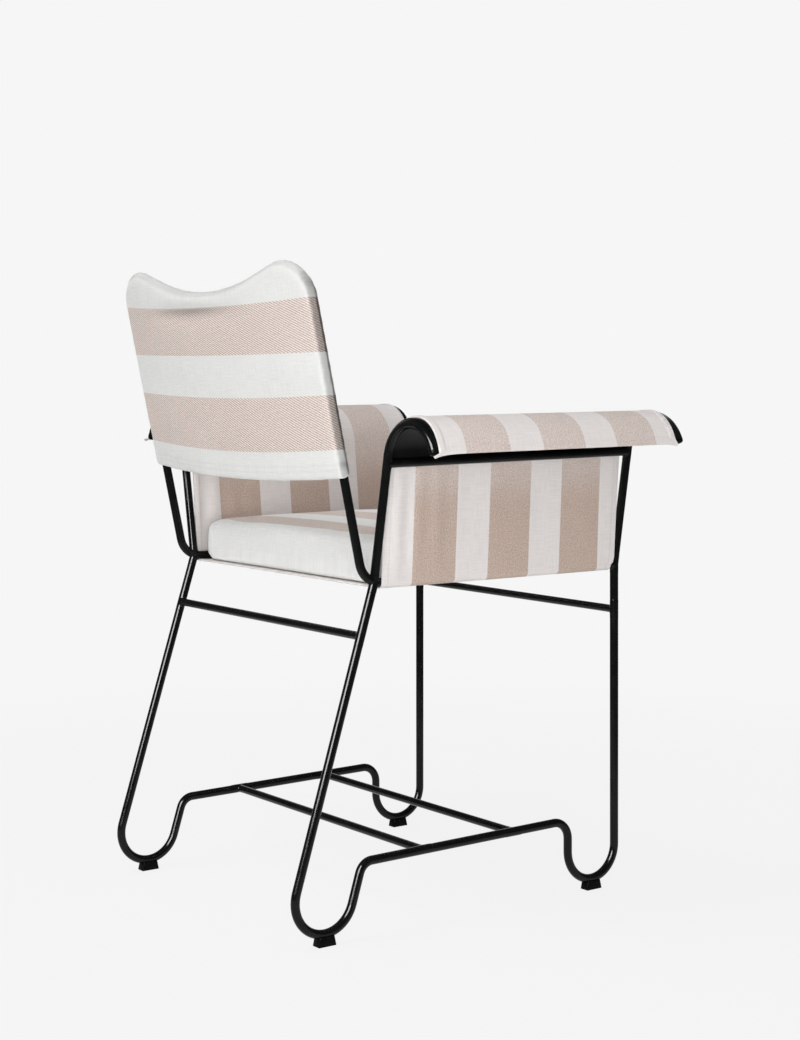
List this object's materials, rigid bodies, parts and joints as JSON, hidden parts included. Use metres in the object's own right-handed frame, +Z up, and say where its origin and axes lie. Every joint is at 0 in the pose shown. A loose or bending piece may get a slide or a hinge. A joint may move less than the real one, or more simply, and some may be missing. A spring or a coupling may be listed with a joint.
{
  "type": "sling patio chair",
  "caption": "Patio armchair on a bent steel rod frame with looped feet, scrolled arms in striped slings, a padded back cover and a loose seat cushion.",
  "frame": {"origin": "on the floor, under the middle of the chair's bounding box", "axes": "+Z up, -Y the way the sitter faces, +X to the sitter's left"},
  "size_m": [0.6854, 0.5108, 0.8048],
  "materials": {
    "frame_enamel": "gloss black enamel",
    "black_nylon": "moulded black nylon",
    "sling_cloth": "plain woven cloth in white and beige stripes",
    "cushion_cloth": "plain woven cloth in white and beige stripes",
    "cover_cloth": "plain woven cloth in white and beige stripes"
  },
  "bodies": {
    "root": {"side_frame_right": "frame_enamel", "rear_arm_right": "frame_enamel", "seat_side_rail_right": "frame_enamel", "arm_rail_right": "frame_enamel", "arm_shell_right": "frame_enamel", "foot_glide_rear_right": "black_nylon", "foot_glide_front_right": "black_nylon", "scroll_cap_rear_right": "black_nylon", "scroll_cap_front_right": "black_nylon", "arm_sling_right": "sling_cloth", "side_frame_left": "frame_enamel", "rear_arm_left": "frame_enamel", "seat_side_rail_left": "frame_enamel", "arm_rail_left": "frame_enamel", "arm_shell_left": "frame_enamel", "foot_glide_rear_left": "black_nylon", "foot_glide_front_left": "black_nylon", "scroll_cap_rear_left": "black_nylon", "scroll_cap_front_left": "black_nylon", "arm_sling_left": "sling_cloth", "rear_crossbar": "frame_enamel", "front_crossbar": "frame_enamel", "low_crossbar_rear": "frame_enamel", "low_crossbar_front": "frame_enamel", "back_frame": "frame_enamel", "back_cover_bar": "frame_enamel", "seat_sling": "sling_cloth", "seat_cushion": "cushion_cloth", "back_cover": "cover_cloth"}
  },
  "joints": []
}
